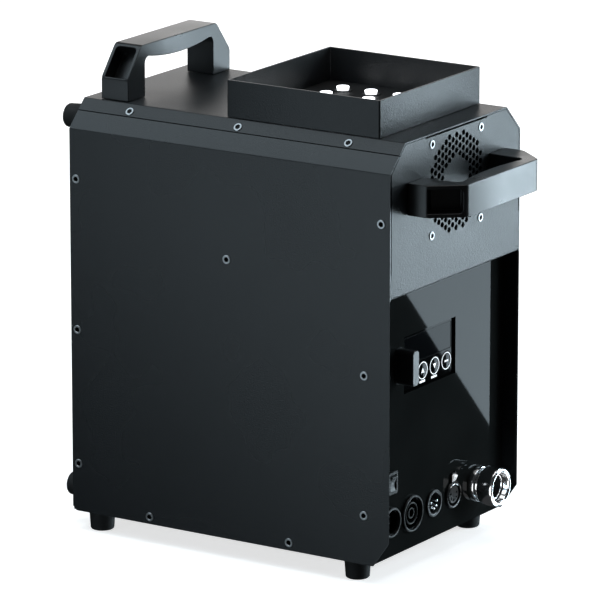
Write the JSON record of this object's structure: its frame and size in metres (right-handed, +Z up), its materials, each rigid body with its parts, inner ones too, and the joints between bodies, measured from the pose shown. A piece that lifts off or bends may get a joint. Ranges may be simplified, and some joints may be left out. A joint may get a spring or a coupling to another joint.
{
  "type": "fog machine",
  "caption": "Upright stage fog machine: folded black steel case, lit outlet tray on top, two bridge handles, recessed control panel with sockets and hose coupler.",
  "frame": {"origin": "middle of the whole machine's footprint, on the surface that it stands on", "axes": "+Z up; the control end faces -Y; +X is to the right of someone who faces the control panel"},
  "size_m": [0.22, 0.406, 0.447],
  "materials": {
    "powder_coat": "fine matt black powder coat on folded steel sheet",
    "gloss_panel": "high gloss black front plate",
    "handle_plastic": "moulded black plastic, slightly satin",
    "connector_black": "black connector and fan plastic",
    "rubber": "black rubber",
    "chrome": "polished chrome plate",
    "steel": "bright steel",
    "aluminium": "cast or extruded aluminium",
    "lens": "clear lens plastic, lit white from behind",
    "circuit_board": "green lacquered circuit board",
    "hose": "translucent fluid hose",
    "key": "gloss black key and display plastic"
  },
  "bodies": {
    "case": {"left_side_panel": "powder_coat", "right_side_panel": "powder_coat", "top_cover": "powder_coat", "front_panel": "powder_coat", "rear_panel": "powder_coat", "base_plate": "powder_coat", "outlet_collar": "powder_coat", "outlet_deck": "powder_coat", "control_panel": "gloss_panel", "top_handle": "handle_plastic", "front_handle": "handle_plastic", "plug_in_module": "handle_plastic", "fan_frame": "connector_black", "rocker_switch_body": "connector_black", "power_inlet": "connector_black", "power_outlet": "connector_black", "xlr_male": "connector_black", "xlr_female": "connector_black", "base_foot_1": "rubber", "base_foot_2": "rubber", "base_foot_3": "rubber", "base_foot_4": "rubber", "rear_foot_1": "rubber", "rear_foot_2": "rubber", "rear_foot_3": "rubber", "rear_foot_4": "rubber", "coupler_body": "chrome", "fan_screw_1": "steel", "fan_screw_2": "steel", "fan_screw_3": "steel", "fan_screw_4": "steel", "coupler_spring": "steel", "coupler_nut": "steel", "fog_nozzle": "steel", "heating_rod_1": "steel", "heating_rod_2": "steel", "heat_shroud": "steel", "bulkhead": "steel", "pump": "steel", "led_board": "aluminium", "led_heat_sink": "aluminium", "heater_block": "aluminium", "thermal_cut_out": "aluminium", "power_supply": "aluminium", "lens_array": "lens", "main_board": "circuit_board", "feed_hose": "hose", "pressure_hose": "hose", "display_unit": "key"},
    "fan_rotor": {"fan_rotor": "connector_black"},
    "rocker": {"rocker_lever": "connector_black"},
    "key_up": {"button_up": "key"},
    "key_down": {"button_down": "key"},
    "key_enter": {"button_enter": "key"},
    "xlr_latch": {"xlr_latch": "chrome"},
    "coupler_sleeve": {"coupler_sleeve": "chrome"},
    "coupler_valve": {"coupler_valve": "steel"}
  },
  "joints": [
    {"name": "fan_spin", "type": "hinge", "parent": "case", "child": "fan_rotor", "pos_m": [0, -0.1427, 0.348], "axis": [0, 1, 0], "continuous": true},
    {"name": "rocker_tilt", "type": "hinge", "parent": "case", "child": "rocker", "pos_m": [-0.082, -0.1371, 0.0883], "axis": [1, 0, 0], "range_deg": [-18, 0]},
    {"name": "key_up_press", "type": "slide", "parent": "case", "child": "key_up", "axis": [0, 1, 0], "range_m": [0, 0.0005], "stiffness_N_per_m": 600, "springref_m": -0.001},
    {"name": "key_down_press", "type": "slide", "parent": "case", "child": "key_down", "axis": [0, 1, 0], "range_m": [0, 0.0005], "stiffness_N_per_m": 600, "springref_m": -0.001},
    {"name": "key_enter_press", "type": "slide", "parent": "case", "child": "key_enter", "axis": [0, 1, 0], "range_m": [0, 0.0005], "stiffness_N_per_m": 600, "springref_m": -0.001},
    {"name": "latch_press", "type": "hinge", "parent": "case", "child": "xlr_latch", "pos_m": [0.0216, -0.1391, 0.065], "axis": [1, 0, 0], "range_deg": [-8, 0], "stiffness_Nm_per_rad": 0.05, "springref_deg": 5.73},
    {"name": "sleeve_slide", "type": "slide", "parent": "case", "child": "coupler_sleeve", "axis": [0, 1, 0], "range_m": [0, 0.003], "stiffness_N_per_m": 800, "springref_m": -0.005},
    {"name": "valve_slide", "type": "slide", "parent": "case", "child": "coupler_valve", "axis": [0, 1, 0], "range_m": [0, 0.003], "stiffness_N_per_m": 500, "springref_m": -0.004}
  ]
}
